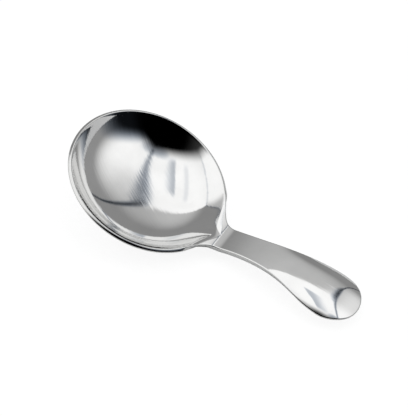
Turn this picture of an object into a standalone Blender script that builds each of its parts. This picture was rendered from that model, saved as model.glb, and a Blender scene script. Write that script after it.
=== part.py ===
"""A short-handled measuring spoon, pressed from one sheet of polished steel.

The spoon is modelled in its own frame first: the rim of the bowl lies in the plane z = 0, the bowl's
axis is z, and the handle runs along +X. One half of the upper face is laid out as ribs that run from
the spoon's centreline to its outline. The half is mirrored, given the thickness of the sheet, and its
cut edge is rounded. At the end the spoon is laid on a table, tipped as it comes to rest on its bowl.
"""

import bmesh
import bpy
import numpy as np

MM = 0.001

# Bowl: round, with sides that grow steeper towards the rim.
RIM_RADIUS = 24.1 * MM
BOWL_DEPTH = 9.1 * MM
STEEP_SHARE = 0.8                # share of the depth that rises with the fourth power of the radius
SPOUT_REACH = 5.0 * MM           # how much further the bowl runs out towards the handle
SPOUT_RUN = 4.0 * MM             # it comes in over this length to either side of the rim
SPOUT_SPREAD = np.radians(11)    # half the angle over which it does so

# Outline of the handle. Pulls are the arms of its two curves, as shares of the curve's chord.
HANDLE_LENGTH = 47.9 * MM        # from the rim to the tip
SHOULDER_START = np.radians(69)  # where the round rim gives way to the shoulder
SHOULDER_PULLS = (0.60, 0.36)
NECK_FROM_RIM = 8.1 * MM
NECK_HALF_WIDTH = 4.6 * MM
FLARE_PULLS = (0.50, 0.32)
END_LENGTH = 9.3 * MM            # from the widest place to the tip
END_HALF_WIDTH = 9.3 * MM

# Side view of the handle: a bend at the neck, a long arch, and an end that turns down.
BEND_FROM_RIM = 1.6 * MM
BEND_BELOW_RIM = 0.6 * MM
BEND_RADIUS = 10.0 * MM
NECK_RISE = np.radians(29)
ARCH_RADIUS = 85.4 * MM
TURN_DOWN_LENGTH = 7.1 * MM
TURN_DOWN_RADIUS = 25.7 * MM

# Lip: heights over which bowl and handle run into each other, on the centreline and at the shoulders.
LIP_BLEND = 0.3 * MM
SHOULDER_BLEND = 1.6 * MM

# Across the handle: flat at the neck, and domed at the end, with a broad crown and edges that droop.
END_DOME = 0.23                  # drop of the edge at the widest place, as a share of half the width
DOME_FROM_NECK = 12.5 * MM       # where the dome starts
DOME_FULL_LENGTH = 7.5 * MM      # full dome before the widest place

# Sheet: a little thicker at the neck than in the bowl.
BOWL_SHEET = 1.2 * MM
NECK_SHEET = 1.6 * MM
NECK_SHEET_SPREAD = 14.0 * MM
EDGE_ROUND = 0.35 * MM
EDGE_STEPS = 2
EDGE_ANGLE = np.radians(50)      # corners sharper than this are cut edges

# Places along the spoon, from the bowl's axis.
NECK_AT = RIM_RADIUS + NECK_FROM_RIM
TIP_AT = RIM_RADIUS + HANDLE_LENGTH
WIDEST_AT = TIP_AT - END_LENGTH
BEND_AT = RIM_RADIUS + BEND_FROM_RIM
TURN_DOWN_AT = TIP_AT - TURN_DOWN_LENGTH
DOME_STARTS_AT = NECK_AT + DOME_FROM_NECK
DOME_FULL_AT = WIDEST_AT - DOME_FULL_LENGTH

# Ribs: how many each stretch of the outline gets, and where on the centreline they start.
RIM_RIBS = 27
SHOULDER_RIBS = 14
FLARE_RIBS = 13
END_RIBS = 9
RIB_STEPS = 9
RIB_TURN_START = RIM_RADIUS / 3  # up to here all ribs start at the bowl's axis
RIB_TURN_END = NECK_AT + 3.0 * MM  # from here on they stand square to the centreline
RIB_TURN_POWER = 1.5
END_FAN_AT = WIDEST_AT - 2.0 * MM  # the end's ribs spread from here
MERGE_DISTANCE = 0.01 * MM

# Rest: tilts of the spoon on a table that are tried for the lowest centre of mass.
STEEPEST_REST = np.radians(40)
REST_TRIES = 2001

STEEL_COLOUR = (0.62, 0.62, 0.61, 1.0)
STEEL_ROUGHNESS = 0.08


def curve(start, leave, end, arrive, pulls, count):
    """Points of a cubic curve between two points with given directions, without the first point."""
    chord = np.hypot(*(end - start))
    first_arm = start + pulls[0] * chord * leave
    last_arm = end - pulls[1] * chord * arrive
    t = np.linspace(0.0, 1.0, count + 1)[1:, None]
    return (
        (1 - t) ** 3 * start
        + 3 * t * (1 - t) ** 2 * first_arm
        + 3 * t ** 2 * (1 - t) * last_arm
        + t ** 3 * end
    )


def half_outline():
    """Points from the front of the rim to the tip of the handle, on the side where y is positive."""
    angle = np.linspace(np.pi, SHOULDER_START, RIM_RIBS)
    rim = RIM_RADIUS * np.stack([np.cos(angle), np.sin(angle)], axis=1)
    leave = np.array([np.sin(SHOULDER_START), -np.cos(SHOULDER_START)])
    neck = np.array([NECK_AT, NECK_HALF_WIDTH])
    widest = np.array([WIDEST_AT, END_HALF_WIDTH])
    along = np.array([1.0, 0.0])
    shoulder = curve(rim[-1], leave, neck, along, SHOULDER_PULLS, SHOULDER_RIBS)
    flare = curve(neck, along, widest, along, FLARE_PULLS, FLARE_RIBS)
    turn = np.linspace(0.0, np.pi / 2, END_RIBS + 1)[1:]
    end = np.stack([WIDEST_AT + END_LENGTH * np.sin(turn), END_HALF_WIDTH * np.cos(turn)], axis=1)
    outline = np.concatenate([rim, shoulder, flare, end])
    outline[[0, -1], 1] = 0.0
    return outline


def rib_roots(x):
    """Where on the centreline the rib to an outline point at x starts."""
    turn = np.clip((x - RIB_TURN_START) / (RIB_TURN_END - RIB_TURN_START), 0.0, None)
    root = np.where(x < RIB_TURN_END, RIB_TURN_END * turn ** RIB_TURN_POWER, x)
    return np.minimum(root, END_FAN_AT)


def smooth_step(value, start, full):
    share = np.clip((value - start) / (full - start), 0.0, 1.0)
    return share * share * (3.0 - 2.0 * share)


def bowl_height(x, y):
    """The bowl: its height is a sum of the second and fourth powers of the distance to its axis."""
    radius = np.hypot(x, y)
    spout = np.exp(-((np.arctan2(y, x) / SPOUT_SPREAD) ** 2))
    spout *= smooth_step(radius, RIM_RADIUS - SPOUT_RUN, RIM_RADIUS + SPOUT_RUN)
    share = radius / (RIM_RADIUS + SPOUT_REACH * spout)
    return BOWL_DEPTH * ((1.0 - STEEP_SHARE) * share ** 2 + STEEP_SHARE * share ** 4 - 1.0)


def spine_height(x):
    """Side view of the handle's middle: three arcs, each tangent to the one before it."""
    arch_at = BEND_AT + BEND_RADIUS * np.sin(NECK_RISE)
    arch_from = BEND_RADIUS * (1.0 - np.cos(NECK_RISE)) - BEND_BELOW_RIM
    arch_axis = arch_at + ARCH_RADIUS * np.sin(NECK_RISE)
    arch_top = arch_from + ARCH_RADIUS * (1.0 - np.cos(NECK_RISE))
    turn_slope = (arch_axis - TURN_DOWN_AT) / ARCH_RADIUS
    turn_axis = TURN_DOWN_AT + TURN_DOWN_RADIUS * turn_slope
    turn_top = arch_top - (ARCH_RADIUS - TURN_DOWN_RADIUS) * (1.0 - np.sqrt(1.0 - turn_slope ** 2))

    def arc(axis, radius):
        reach = np.clip((x - axis) / radius, -1.0, 1.0)
        return radius * (1.0 - np.sqrt(1.0 - reach ** 2))

    bend = arc(BEND_AT, BEND_RADIUS) - BEND_BELOW_RIM
    arch = arch_top - arc(arch_axis, ARCH_RADIUS)
    turn = turn_top - arc(turn_axis, TURN_DOWN_RADIUS)
    return np.where(x < arch_at, bend, np.where(x < TURN_DOWN_AT, arch, turn))


def handle_height(x, y, outline):
    """The handle: its spine less a dome, which drops with the fourth power of the way to the edge."""
    handle = outline[:, 0] >= NECK_AT
    width = np.interp(np.minimum(x, WIDEST_AT), outline[handle, 0], outline[handle, 1])
    dome = END_DOME * smooth_step(x, DOME_STARTS_AT, DOME_FULL_AT)
    return spine_height(x) - dome * width * (y / width) ** 4


def upper_face(x, y, outline):
    """The lower of bowl and handle, with a soft change from one to the other at the lip."""
    bowl = bowl_height(x, y)
    handle = handle_height(x, y, outline)
    softness = LIP_BLEND + (SHOULDER_BLEND - LIP_BLEND) * smooth_step(y, 0.0, 2 * NECK_HALF_WIDTH)
    blend = np.clip(1.0 - np.abs(bowl - handle) / softness, 0.0, None)
    return np.minimum(bowl, handle) - 0.25 * softness * blend ** 2


def sheet_share(x):
    """Thickness of the sheet as a share of NECK_SHEET."""
    extra = np.exp(-(((x - NECK_AT) / NECK_SHEET_SPREAD) ** 2))
    return (BOWL_SHEET + (NECK_SHEET - BOWL_SHEET) * extra) / NECK_SHEET


def half_sheet():
    """Mesh of the upper face on one side of the centreline."""
    outline = half_outline()
    roots = rib_roots(outline[:, 0])
    steps = np.linspace(0.0, 1.0, RIB_STEPS + 1)
    x = roots[:, None] + (outline[:, 0] - roots)[:, None] * steps
    y = outline[:, 1][:, None] * steps
    z = upper_face(x, y, outline)

    mesh = bpy.data.meshes.new("spoon")
    grid = bmesh.new()
    vertices = [[grid.verts.new(point) for point in rib] for rib in np.stack([x, y, z], axis=2)]
    for this, following in zip(vertices, vertices[1:]):
        for k in range(len(steps) - 1):
            grid.faces.new((this[k], this[k + 1], following[k + 1], following[k]))
    bmesh.ops.remove_doubles(grid, verts=grid.verts, dist=MERGE_DISTANCE)
    bmesh.ops.recalc_face_normals(grid, faces=grid.faces)
    grid.faces.ensure_lookup_table()
    if grid.faces[0].normal.z < 0:
        bmesh.ops.reverse_faces(grid, faces=grid.faces)
    grid.to_mesh(mesh)
    grid.free()
    return mesh


def steel():
    material = bpy.data.materials.new("polished_steel")
    material.use_nodes = True
    shader = material.node_tree.nodes["Principled BSDF"]
    shader.inputs["Base Color"].default_value = STEEL_COLOUR
    shader.inputs["Metallic"].default_value = 1.0
    shader.inputs["Roughness"].default_value = STEEL_ROUGHNESS
    return material


def make_spoon(collection):
    spoon = bpy.data.objects.new("spoon", half_sheet())
    collection.objects.link(spoon)
    spoon.data.materials.append(steel())

    sheet = spoon.vertex_groups.new(name="sheet")
    for vertex in spoon.data.vertices:
        sheet.add([vertex.index], float(sheet_share(vertex.co.x)), "REPLACE")

    mirror = spoon.modifiers.new("both sides", "MIRROR")
    mirror.use_axis = (False, True, False)
    mirror.merge_threshold = MERGE_DISTANCE

    thickness = spoon.modifiers.new("sheet", "SOLIDIFY")
    thickness.thickness = NECK_SHEET
    thickness.offset = -1.0
    thickness.vertex_group = sheet.name
    thickness.use_even_offset = True

    edge = spoon.modifiers.new("rounded edge", "BEVEL")
    edge.width = EDGE_ROUND
    edge.segments = EDGE_STEPS
    edge.limit_method = "ANGLE"
    edge.angle_limit = EDGE_ANGLE
    return spoon


def lay_on_table(spoon):
    """Tip the spoon about Y to where its centre of mass is lowest, and stand it on z = 0.

    The origin ends up under the middle of the spoon's box.
    """
    bpy.context.view_layer.update()
    solid = spoon.evaluated_get(bpy.context.evaluated_depsgraph_get()).data
    solid.calc_loop_triangles()
    points = np.array([vertex.co for vertex in solid.vertices])
    corners = points[np.array([triangle.vertices for triangle in solid.loop_triangles])]
    volume = np.einsum("ij,ij->i", corners[:, 0], np.cross(corners[:, 1], corners[:, 2]))
    middle = (volume[:, None] * corners.sum(axis=1)).sum(axis=0) / (4.0 * volume.sum())

    def height(point, tilt):
        return point[..., 2] * np.cos(tilt) - point[..., 0] * np.sin(tilt)

    tilts = np.linspace(0.0, STEEPEST_REST, REST_TRIES)
    tilt = min(tilts, key=lambda angle: height(middle, angle) - height(points, angle).min())
    along = points[:, 0] * np.cos(tilt) + points[:, 2] * np.sin(tilt)
    spoon.rotation_euler = (0.0, tilt, 0.0)
    spoon.location = (-0.5 * (along.min() + along.max()), 0.0, -height(points, tilt).min())


def main():
    for thing in list(bpy.data.objects):
        bpy.data.objects.remove(thing, do_unlink=True)
    collection = bpy.data.collections.new("measuring_spoon")
    bpy.context.scene.collection.children.link(collection)
    lay_on_table(make_spoon(collection))


main()
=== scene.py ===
import math

import bmesh
import bpy
import numpy as np
from mathutils import Matrix, Vector


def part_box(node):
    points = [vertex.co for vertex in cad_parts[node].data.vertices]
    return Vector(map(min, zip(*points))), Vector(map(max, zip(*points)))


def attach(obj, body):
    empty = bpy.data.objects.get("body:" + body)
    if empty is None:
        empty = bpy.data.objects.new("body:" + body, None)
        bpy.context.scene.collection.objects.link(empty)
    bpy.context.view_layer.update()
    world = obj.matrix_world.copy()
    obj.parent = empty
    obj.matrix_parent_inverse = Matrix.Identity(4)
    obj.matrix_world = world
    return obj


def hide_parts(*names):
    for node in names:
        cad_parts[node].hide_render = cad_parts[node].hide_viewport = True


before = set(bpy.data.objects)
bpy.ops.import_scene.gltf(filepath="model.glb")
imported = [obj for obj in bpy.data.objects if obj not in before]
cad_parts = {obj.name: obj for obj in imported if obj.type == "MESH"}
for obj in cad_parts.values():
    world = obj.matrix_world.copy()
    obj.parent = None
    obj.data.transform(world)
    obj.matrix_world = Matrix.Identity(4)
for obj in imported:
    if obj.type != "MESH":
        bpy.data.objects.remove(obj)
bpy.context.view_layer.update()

mm = 0.001


# shader helper: one socket of a node tree, with arithmetic that adds Math nodes
class Shade:
    def __init__(self, tree, socket=None):
        self.tree = tree
        self.socket = socket

    # any node: its settings first, then the values or links of its sockets; out picks the result
    def node(self, kind, settings=None, sockets=None, out=0):
        made = self.tree.nodes.new(kind)
        for name, value in (settings or {}).items():
            setattr(made, name, value)
        for name, value in (sockets or {}).items():
            if isinstance(value, Shade):
                self.tree.links.new(value.socket, made.inputs[name])
            else:
                made.inputs[name].default_value = value
        return Shade(self.tree, made.outputs[out] if made.outputs else None)

    def math(self, operation, *values):
        return self.node("ShaderNodeMath", {"operation": operation}, dict(enumerate(values)))

    def __add__(self, other):
        return self.math("ADD", self, other)

    __radd__ = __add__

    def __sub__(self, other):
        return self.math("SUBTRACT", self, other)

    def __rsub__(self, other):
        return self.math("SUBTRACT", other, self)

    def __mul__(self, other):
        return self.math("MULTIPLY", self, other)

    __rmul__ = __mul__

    def __truediv__(self, other):
        return self.math("DIVIDE", self, other)

    # smooth rise from 0 at low to 1 at high
    def rise(self, low, high):
        return self.node(
            "ShaderNodeMapRange",
            {"interpolation_type": "SMOOTHSTEP"},
            {"Value": self, "From Min": low, "From Max": high},
        )

    def dot(self, direction):
        return self.node(
            "ShaderNodeVectorMath", {"operation": "DOT_PRODUCT"}, {0: self, 1: direction}, "Value"
        )

    def mixColour(self, first, second):
        return self.node("ShaderNodeMix", {"data_type": "RGBA"}, {0: self, 6: first, 7: second}, 2)


# the spoon: sizes in millimetres, angles in degrees, places along X from the bowl's axis
spoon = {
    "rimRadius": 24.1, "bowlDepth": 9.1, "steepShare": 0.8,
    "spoutReach": 3.2, "spoutRun": 6.0, "spoutSpread": 12.0,
    "handleLength": 47.9, "shoulderStart": 40.0, "shoulderPulls": (0.75, 0.45),
    "neckFromRim": 8.1, "neckHalfWidth": 4.6, "flarePulls": (0.50, 0.32),
    "endLength": 9.3, "endHalfWidth": 9.3,
    "bendFromRim": 2.5, "bendBelowRim": 0.685, "bendRadius": 6.0, "bendEntry": 10.0, "neckRise": 29.6,
    "archRadius": 85.4, "turnDownLength": 7.1, "turnDownRadius": 25.7,
    "lipBlend": 0.8, "shoulderBlend": 1.6,
    "endDome": 0.23, "domeFromNeck": 8.5, "domeFullLength": 3.5,
    "bowlSheet": 1.2, "neckSheet": 1.6, "neckSheetSpread": 14.0, "edgeRound": 0.35,
    "restTilt": 14.84,
    "rimRibs": 110, "shoulderRibs": 190, "flareRibs": 70, "endRibs": 50,
    "topSteps": 48, "cornerSteps": 5, "underSteps": 26,
    "ribTurnShare": 1 / 3, "ribTurnPastNeck": 3.0, "ribTurnPower": 1.5, "ribsEndBeforeWidest": 2.0,
    "slopeStep": 0.01, "weld": 0.002,
}
neckAt = spoon["rimRadius"] + spoon["neckFromRim"]
tipAt = spoon["rimRadius"] + spoon["handleLength"]
widestAt = tipAt - spoon["endLength"]
bendAt = spoon["rimRadius"] + spoon["bendFromRim"]
turnDownAt = tipAt - spoon["turnDownLength"]


def smoothStep(value, start, full):
    share = np.clip((value - start) / (full - start), 0.0, 1.0)
    return share * share * (3.0 - 2.0 * share)


# cubic curve between two points with given directions, its arms being shares of the chord
def cubic(start, leave, end, arrive, pulls, count):
    chord = np.hypot(*(end - start))
    t = np.linspace(0.0, 1.0, count + 1)[1:, None]
    firstArm = start + pulls[0] * chord * leave
    lastArm = end - pulls[1] * chord * arrive
    return (
        (1 - t) ** 3 * start
        + 3 * t * (1 - t) ** 2 * firstArm
        + 3 * t ** 2 * (1 - t) * lastArm
        + t ** 3 * end
    )


# half the outline: an arc round the rim, a cubic shoulder, a cubic flare, a quarter ellipse at the end
def halfOutline():
    start = math.radians(spoon["shoulderStart"])
    angle = np.linspace(np.pi, start, spoon["rimRibs"])
    rim = spoon["rimRadius"] * np.stack([np.cos(angle), np.sin(angle)], axis=1)
    leave = np.array([math.sin(start), -math.cos(start)])
    along = np.array([1.0, 0.0])
    neck = np.array([neckAt, spoon["neckHalfWidth"]])
    widest = np.array([widestAt, spoon["endHalfWidth"]])
    shoulder = cubic(rim[-1], leave, neck, along, spoon["shoulderPulls"], spoon["shoulderRibs"])
    flare = cubic(neck, along, widest, along, spoon["flarePulls"], spoon["flareRibs"])
    turn = np.linspace(0.0, np.pi / 2, spoon["endRibs"] + 1)[1:]
    end = np.stack(
        [widestAt + spoon["endLength"] * np.sin(turn), spoon["endHalfWidth"] * np.cos(turn)], axis=1
    )
    outline = np.concatenate([rim, shoulder, flare, end])
    outline[[0, -1], 1] = 0.0
    return outline


# bowl: depth times a mix of the square and the fourth power of the share of the way to the rim; the rim
# runs further out towards the handle, by a bell curve of the angle that comes in near the rim
def bowlHeight(x, y):
    spread = math.radians(spoon["spoutSpread"])
    rim, run = spoon["rimRadius"], spoon["spoutRun"]
    radius = np.hypot(x, y)
    spout = np.exp(-((np.arctan2(y, x) / spread) ** 2)) * smoothStep(radius, rim - run, rim + run)
    share = radius / (rim + spoon["spoutReach"] * spout)
    steep = spoon["steepShare"]
    return spoon["bowlDepth"] * ((1.0 - steep) * share ** 2 + steep * share ** 4 - 1.0)


# handle seen from the side: arcs, each tangent to the one before it
def spineHeight(x):
    rise = math.radians(spoon["neckRise"])
    bend, arch, turn = spoon["bendRadius"], spoon["archRadius"], spoon["turnDownRadius"]
    archAt = bendAt + bend * math.sin(rise)
    archAxis = archAt + arch * math.sin(rise)
    archTop = (bend + arch) * (1.0 - math.cos(rise)) - spoon["bendBelowRim"]
    slope = (archAxis - turnDownAt) / arch
    turnTop = archTop - (arch - turn) * (1.0 - math.sqrt(1.0 - slope ** 2))

    def drop(axis, radius):
        reach = np.clip((x - axis) / radius, -1.0, 1.0)
        return radius * (1.0 - np.sqrt(1.0 - reach ** 2))

    neck = drop(bendAt, np.where(x < bendAt, spoon["bendEntry"], bend)) - spoon["bendBelowRim"]
    middle = archTop - drop(archAxis, arch)
    end = turnTop - drop(turnDownAt + turn * slope, turn)
    return np.where(x < archAt, neck, np.where(x < turnDownAt, middle, end))


# handle: its spine less a dome, a share of the half width times the fourth power of the way to the edge
def handleHeight(x, y, outline):
    handle = outline[:, 0] >= neckAt
    width = np.interp(np.minimum(x, widestAt), outline[handle, 0], outline[handle, 1])
    growth = smoothStep(x, neckAt + spoon["domeFromNeck"], widestAt - spoon["domeFullLength"])
    return spineHeight(x) - spoon["endDome"] * growth * width * (y / width) ** 4


# upper face: the lower of bowl and handle, rounded off where they meet at the lip
def upperFace(x, y, outline):
    bowl = bowlHeight(x, y)
    handle = handleHeight(x, y, outline)
    extra = spoon["shoulderBlend"] - spoon["lipBlend"]
    softness = spoon["lipBlend"] + extra * smoothStep(y, 0.0, 2 * spoon["neckHalfWidth"])
    blend = np.clip(1.0 - np.abs(bowl - handle) / softness, 0.0, None)
    return np.minimum(bowl, handle) - 0.25 * softness * blend ** 2


# upward normals of the upper face, from differences of its height over a small step
def faceNormals(x, y, outline):
    step = spoon["slopeStep"]
    y = np.maximum(y, 0.0)
    alongX = (upperFace(x + step, y, outline) - upperFace(x - step, y, outline)) / (2 * step)
    alongY = (upperFace(x, y + step, outline) - upperFace(x, np.abs(y - step), outline)) / (2 * step)
    normals = np.stack([-alongX, -alongY, np.ones_like(alongX)], axis=-1)
    return normals / np.linalg.norm(normals, axis=-1, keepdims=True)


def sheetThickness(x):
    extra = np.exp(-(((x - neckAt) / spoon["neckSheetSpread"]) ** 2))
    return spoon["bowlSheet"] + (spoon["neckSheet"] - spoon["bowlSheet"]) * extra


# where on the centreline the rib to an outline point starts: ribs fan out from the bowl's middle, by a power
# of the way to the neck, and run straight across the handle
def ribRoots(x):
    turnStart = spoon["ribTurnShare"] * spoon["rimRadius"]
    turnEnd = neckAt + spoon["ribTurnPastNeck"]
    turn = np.clip((x - turnStart) / (turnEnd - turnStart), 0.0, None)
    root = np.where(x < turnEnd, turnEnd * turn ** spoon["ribTurnPower"], x)
    return np.minimum(root, widestAt - spoon["ribsEndBeforeWidest"])


# half the spoon as one grid: along the outline by across the sheet, from the centreline on top, round
# the cut edge and back to the centreline underneath
def halfSkin():
    outline = halfOutline()
    x, y = outline.T
    edgeTop = np.stack([x, y, upperFace(x, y, outline)], axis=1)
    edgeNormal = faceNormals(x, y, outline)
    tangent = np.gradient(edgeTop, axis=0)
    tangent[[0, -1], :2] = (0.0, 1.0), (0.0, -1.0)
    tangent[[0, -1], 2] = 0.0
    outward = np.cross(edgeNormal, tangent)
    outward /= np.linalg.norm(outward, axis=1, keepdims=True)

    corner = spoon["edgeRound"]
    inner = edgeTop - corner * outward
    thick = sheetThickness(x)[:, None]
    roots = ribRoots(x)

    def ribs(count):
        share = np.linspace(0.0, 1.0, count)[None, :]
        ribX = roots[:, None] + (inner[:, 0] - roots)[:, None] * share
        ribY = inner[:, 1][:, None] * share
        ribY[[0, -1]] = 0.0
        top = np.stack([ribX, ribY, upperFace(ribX, ribY, outline)], axis=-1)
        normal = faceNormals(ribX, ribY, outline)
        normal[:, 0, 1] = 0.0
        normal[[0, -1], :, 1] = 0.0
        return top, normal, sheetThickness(ribX)[..., None]

    top, _, _ = ribs(spoon["topSteps"])
    upper, normal, depth = ribs(spoon["underSteps"])
    under = (upper - normal * depth)[:, ::-1]

    turn = np.linspace(0.0, np.pi / 2, spoon["cornerSteps"])[None, :, None]
    middleTop = (inner - corner * edgeNormal)[:, None]
    middleUnder = (inner - (thick - corner) * edgeNormal)[:, None]
    out, up = outward[:, None], edgeNormal[:, None]
    roundTop = middleTop + corner * (np.cos(turn) * up + np.sin(turn) * out)
    roundUnder = middleUnder + corner * (np.cos(turn) * out - np.sin(turn) * up)
    return np.concatenate([top[:, :-1], roundTop, roundUnder, under[:, 1:]], axis=1)


# both halves as one closed mesh, tipped to its rest and set over the middle of the CAD box
def makeSpoon(material):
    half = halfSkin()
    skin = np.concatenate([half, half[-2:0:-1] * (1.0, -1.0, 1.0)], axis=0)
    rows, columns = skin.shape[:2]
    tilt = math.radians(spoon["restTilt"])
    x = skin[..., 0] * math.cos(tilt) + skin[..., 2] * math.sin(tilt)
    z = skin[..., 2] * math.cos(tilt) - skin[..., 0] * math.sin(tilt)
    low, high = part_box("spoon")
    x += 0.5 * (low.x + high.x) / mm - 0.5 * (x.min() + x.max())
    z += low.z / mm - z.min()
    points = np.stack([x, skin[..., 1], z], axis=-1).reshape(-1, 3) * mm

    row, column = np.meshgrid(np.arange(rows), np.arange(columns - 1), indexing="ij")
    first = row * columns + column
    following = (row + 1) % rows * columns + column
    faces = np.stack([first, first + 1, following + 1, following], axis=-1).reshape(-1, 4)

    mesh = bpy.data.meshes.new("polished_spoon")
    mesh.from_pydata(points.tolist(), [], faces.tolist())
    onEdge = np.zeros(columns)
    onEdge[spoon["topSteps"]:spoon["topSteps"] + 2 * spoon["cornerSteps"] - 2] = 1.0
    mesh.attributes.new("edge", "FLOAT", "POINT").data.foreach_set("value", np.tile(onEdge, rows))
    skinMesh = bmesh.new()
    skinMesh.from_mesh(mesh)
    bmesh.ops.remove_doubles(skinMesh, verts=skinMesh.verts, dist=spoon["weld"] * mm)
    bmesh.ops.recalc_face_normals(skinMesh, faces=skinMesh.faces)
    if skinMesh.calc_volume(signed=True) < 0:
        bmesh.ops.reverse_faces(skinMesh, faces=skinMesh.faces)
    openEdges = sum(len(edge.link_faces) != 2 for edge in skinMesh.edges)
    volume = round(skinMesh.calc_volume() / mm ** 3)
    skinMesh.to_mesh(mesh)
    print("spoon:", len(mesh.polygons), "faces,", openEdges, "open edges,", volume, "mm3")
    skinMesh.free()
    mesh.shade_smooth()
    mesh.materials.append(material)
    made = bpy.data.objects.new("polished_spoon", mesh)
    bpy.context.scene.collection.objects.link(made)
    return made


# polished steel: hairlines of the polishing run slantwise through the bowl and along the handle; counts are
# lines per millimetre across them and along them, depths are in millimetres
steelFinish = {
    "colour": (0.81, 0.81, 0.805, 1.0), "dullColour": (0.76, 0.76, 0.755, 1.0),
    "edgeColour": (0.70, 0.70, 0.69, 1.0),
    "roughness": (0.035, 0.075), "edgeRoughness": 0.14,
    "cloudSize": 9.0, "cloudDetail": 4.0, "cloudEnds": (0.35, 0.70), "lineDetail": 3.0,
    "bowlLines": {"turn": -28.0, "across": 2.0, "along": 0.09, "depth": 0.010},
    "handleLines": {"turn": 0.0, "across": 2.6, "along": 0.07, "depth": 0.004},
    "bowlEnds": (-2.0, 6.0),
}


def polishedSteel():
    material = bpy.data.materials.new("polished_steel")
    material.use_nodes = True
    shade = Shade(material.node_tree)
    place = shade.node("ShaderNodeTexCoord", out="Object")
    place = shade.node("ShaderNodeVectorMath", {"operation": "SCALE"}, {0: place, "Scale": 1 / mm})

    def hairlines(lines):
        angle = -math.radians(lines["turn"])
        turned = shade.node(
            "ShaderNodeVectorRotate", {"rotation_type": "Z_AXIS"}, {"Vector": place, "Angle": angle}
        )
        stretch = (lines["along"], lines["across"], lines["along"])
        drawn = shade.node("ShaderNodeVectorMath", {"operation": "MULTIPLY"}, {0: turned, 1: stretch})
        detail = steelFinish["lineDetail"]
        noise = shade.node("ShaderNodeTexNoise", None, {"Vector": drawn, "Scale": 1.0, "Detail": detail})
        return noise * (lines["depth"] * mm)

    onHandle = place.dot((1.0, 0.0, 0.0)).rise(*steelFinish["bowlEnds"])
    inBowl = hairlines(steelFinish["bowlLines"]) * (1.0 - onHandle)
    height = inBowl + hairlines(steelFinish["handleLines"]) * onHandle
    bump = shade.node("ShaderNodeBump", None, {"Strength": 1.0, "Distance": 1.0, "Height": height})

    size, detail = steelFinish["cloudSize"], steelFinish["cloudDetail"]
    clouds = shade.node("ShaderNodeTexNoise", None, {"Vector": place, "Scale": 1 / size, "Detail": detail})
    clouds = clouds.rise(*steelFinish["cloudEnds"])
    edge = shade.node("ShaderNodeAttribute", {"attribute_name": "edge"}, out="Fac")
    clear, dull = steelFinish["roughness"]
    face = clear + (dull - clear) * clouds
    roughness = face + (steelFinish["edgeRoughness"] - face) * edge
    colour = edge.mixColour(
        clouds.mixColour(steelFinish["colour"], steelFinish["dullColour"]), steelFinish["edgeColour"]
    )

    shader = material.node_tree.nodes["Principled BSDF"]
    shader.inputs["Metallic"].default_value = 1.0
    for socket, value in {"Base Color": colour, "Roughness": roughness, "Normal": bump}.items():
        material.node_tree.links.new(value.socket, shader.inputs[socket])
    return material


# floor: white to the camera, with part of its light left to the shadow; the steel mirrors it as it is lit
floorFinish = {"size": 3.0, "colour": (0.9, 0.9, 0.9, 1.0), "glow": 1.15, "shadowShare": 0.22}


def makeFloor():
    half = floorFinish["size"] / 2
    mesh = bpy.data.meshes.new("floor")
    corners = [(-half, -half, 0), (half, -half, 0), (half, half, 0), (-half, half, 0)]
    mesh.from_pydata(corners, [], [(0, 1, 2, 3)])
    floor = bpy.data.objects.new("floor", mesh)
    bpy.context.scene.collection.objects.link(floor)

    material = bpy.data.materials.new("white_floor")
    material.use_nodes = True
    material.node_tree.nodes.clear()
    shade = Shade(material.node_tree)
    seen = shade.node("ShaderNodeLightPath", out="Is Camera Ray")
    matt = shade.node("ShaderNodeBsdfDiffuse", sockets={"Color": floorFinish["colour"]})
    glow = shade.node("ShaderNodeEmission", sockets={"Strength": floorFinish["glow"]})
    shown = shade.node("ShaderNodeMixShader", sockets={0: floorFinish["shadowShare"], 1: glow, 2: matt})
    whole = shade.node("ShaderNodeMixShader", sockets={0: seen, 1: matt, 2: shown})
    shade.node("ShaderNodeOutputMaterial", sockets={"Surface": whole})
    mesh.materials.append(material)
    print("floor:", floorFinish["size"], "m square")


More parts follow.
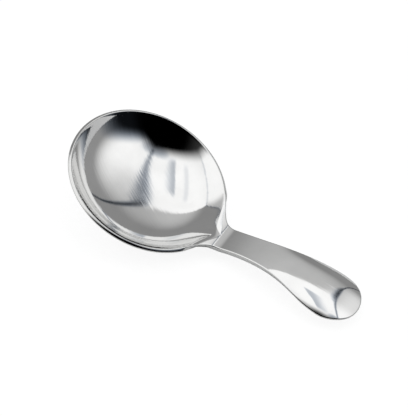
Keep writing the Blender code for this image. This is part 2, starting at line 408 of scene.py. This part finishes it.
# light tent round the spoon, open to the front. Places are degrees of turn from the open side, anticlockwise
# seen from above, and of rise. Reach is how far off a side is, in heights of the roof. Levels are a side's
# light away from its bright patch and in it, glow is that patch's middle and spread its outer and inner
# radius. A pleat of the roof begins, is full, stops being full and ends at the four places given, in heights
# of the roof, to the right and ahead.
tent = {
    "opening": 21.4, "lean": (4.37, 3.65),
    "sides": {
        "roof": {
            "facing": (0, 90), "reach": 1.0, "soft": 0.03,
            "levels": (1.0, 1.18), "glow": (200, 80), "spread": (60, 15),
        },
        "back": {
            "facing": (180, 0), "reach": 0.617, "soft": 0.03,
            "levels": (0.29, 0.60), "glow": (180, 75), "spread": (40, 18),
        },
        "right": {
            "facing": (90, 0), "reach": 0.4545, "soft": 0.03,
            "levels": (0.33, 1.16), "glow": (82, 54), "spread": (46, 8),
        },
        "left": {
            "facing": (270, 0), "reach": 0.893, "soft": 0.03,
            "levels": (0.55, 1.16), "glow": (285, 40), "spread": (40, 28),
        },
        "front": {
            "facing": (20, 0), "reach": 0.56, "soft": 0.34,
            "levels": (0.03, 0.0), "glow": (10, 30), "spread": (40, 20),
        },
    },
    "seams": {
        ("roof", "right"): {"dark": 0.68, "width": 0.11},
        ("right", "back"): {"dark": 0.92, "width": 0.06},
        ("left", "roof"): {"dark": 0.28, "width": 0.04},
        ("left", "back"): {"dark": 0.60, "width": 0.03},
    },
    "shadows": {
        "corner": {"middle": (38, -5), "spread": (58, 26), "dark": 0.98},
        "fold": {"middle": (40, 57), "spread": (16, 3), "dark": 0.50},
    },
    "pleats": {
        "deep": {"across": (0.25, 0.10, 0.08, 0.06), "dark": 0.42},
        "shallow": {"across": (-0.08, -0.16, -0.19, -0.26), "dark": 0.14},
    },
    "pleatSlant": 0.185, "pleatAhead": (-0.41, -0.31, 0.25, 0.50),
    "darkColour": (0.70, 0.82, 1.0, 1.0),
}


def tentDirection(turn, rise):
    azimuth, height = math.radians(tent["opening"] + turn), math.radians(rise)
    level = math.cos(height)
    upright = Vector((math.sin(azimuth) * level, -math.cos(azimuth) * level, math.sin(height)))
    aboutX, aboutY = [math.radians(angle) for angle in tent["lean"]]
    lean = Matrix.Rotation(aboutX, 3, "X") @ Matrix.Rotation(aboutY, 3, "Y")
    return lean.transposed() @ upright


# a ray shows the side whose share, its run towards that side over the side's reach, is the greatest; where
# two sides come out even there is a seam
def makeWorld():
    world = bpy.data.worlds.new("light_tent")
    bpy.context.scene.world = world
    world.use_nodes = True
    world.node_tree.nodes.clear()
    shade = Shade(world.node_tree)
    ray = shade.node("ShaderNodeTexCoord", out="Generated")

    def patch(middle, spread):
        outer, inner = [math.cos(math.radians(angle)) for angle in spread]
        return ray.dot(tentDirection(*middle)).rise(outer, inner)

    shares = {}
    nearest = light = None
    for name, side in tent["sides"].items():
        share = ray.dot(tentDirection(*side["facing"]) / side["reach"])
        dim, bright = side["levels"]
        level = dim + (bright - dim) * patch(side["glow"], side["spread"])
        shares[name] = share
        if nearest is None:
            nearest, light = share, level
            continue
        cover = (share - nearest).rise(-side["soft"], side["soft"])
        light = light + (level - light) * cover
        nearest = shade.math("MAXIMUM", nearest, share)

    dimming = 1.0
    for shadow in tent["shadows"].values():
        dimming = dimming * (1.0 - shadow["dark"] * patch(shadow["middle"], shadow["spread"]))
    for (first, second), seam in tent["seams"].items():
        gap = 2 * nearest - shares[first] - shares[second]
        dimming = dimming * (1.0 - seam["dark"] * gap.rise(seam["width"], 0.0))

    def between(place, ends):
        start, full, last, end = ends
        return place.rise(start, full) * place.rise(end, last)

    across, ahead = [ray.dot(tentDirection(turn, 0)) / shares["roof"] for turn in (90, 0)]
    slanted = across + tent["pleatSlant"] * ahead
    for pleat in tent["pleats"].values():
        fold = between(slanted, pleat["across"]) * between(ahead, tent["pleatAhead"])
        dimming = dimming * (1.0 - pleat["dark"] * fold)
    tint = dimming.mixColour(tent["darkColour"], (1.0, 1.0, 1.0, 1.0))
    lit = shade.node("ShaderNodeBackground", sockets={"Color": tint, "Strength": light * dimming})
    white = shade.node("ShaderNodeBackground", sockets={"Color": (1.0, 1.0, 1.0, 1.0), "Strength": 1.0})
    camera = shade.node("ShaderNodeLightPath", out="Is Camera Ray")
    whole = shade.node("ShaderNodeMixShader", sockets={0: camera, 1: lit, 2: white})
    shade.node("ShaderNodeOutputWorld", sockets={"Surface": whole})
    print("light tent:", len(tent["sides"]), "sides,", len(tent["seams"]), "seams")


# camera: where it stands, what it looks at, its turn about the line of sight and its lens
view = {
    "place": (0.12605, -0.36453, 0.42961), "aim": (-0.00649, 0.00402, 0.00743),
    "roll": 13.235, "lens": 168.34, "sensor": 36.0,
}


def makeCamera():
    lens = bpy.data.cameras.new("camera")
    lens.lens = view["lens"]
    lens.sensor_width = view["sensor"]
    camera = bpy.data.objects.new("camera", lens)
    bpy.context.scene.collection.objects.link(camera)
    place, aim = Vector(view["place"]), Vector(view["aim"])
    looking = (aim - place).to_track_quat("-Z", "Y").to_matrix()
    turned = looking @ Matrix.Rotation(math.radians(view["roll"]), 3, "Z")
    camera.matrix_world = Matrix.Translation(place) @ turned.to_4x4()
    bpy.context.scene.camera = camera
    print("camera:", round((aim - place).length / mm), "mm from the spoon")


bpy.context.scene.view_settings.view_transform = "Standard"
steelSpoon = makeSpoon(polishedSteel())
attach(steelSpoon, "root")
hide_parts("spoon")
makeFloor()
makeWorld()
makeCamera()
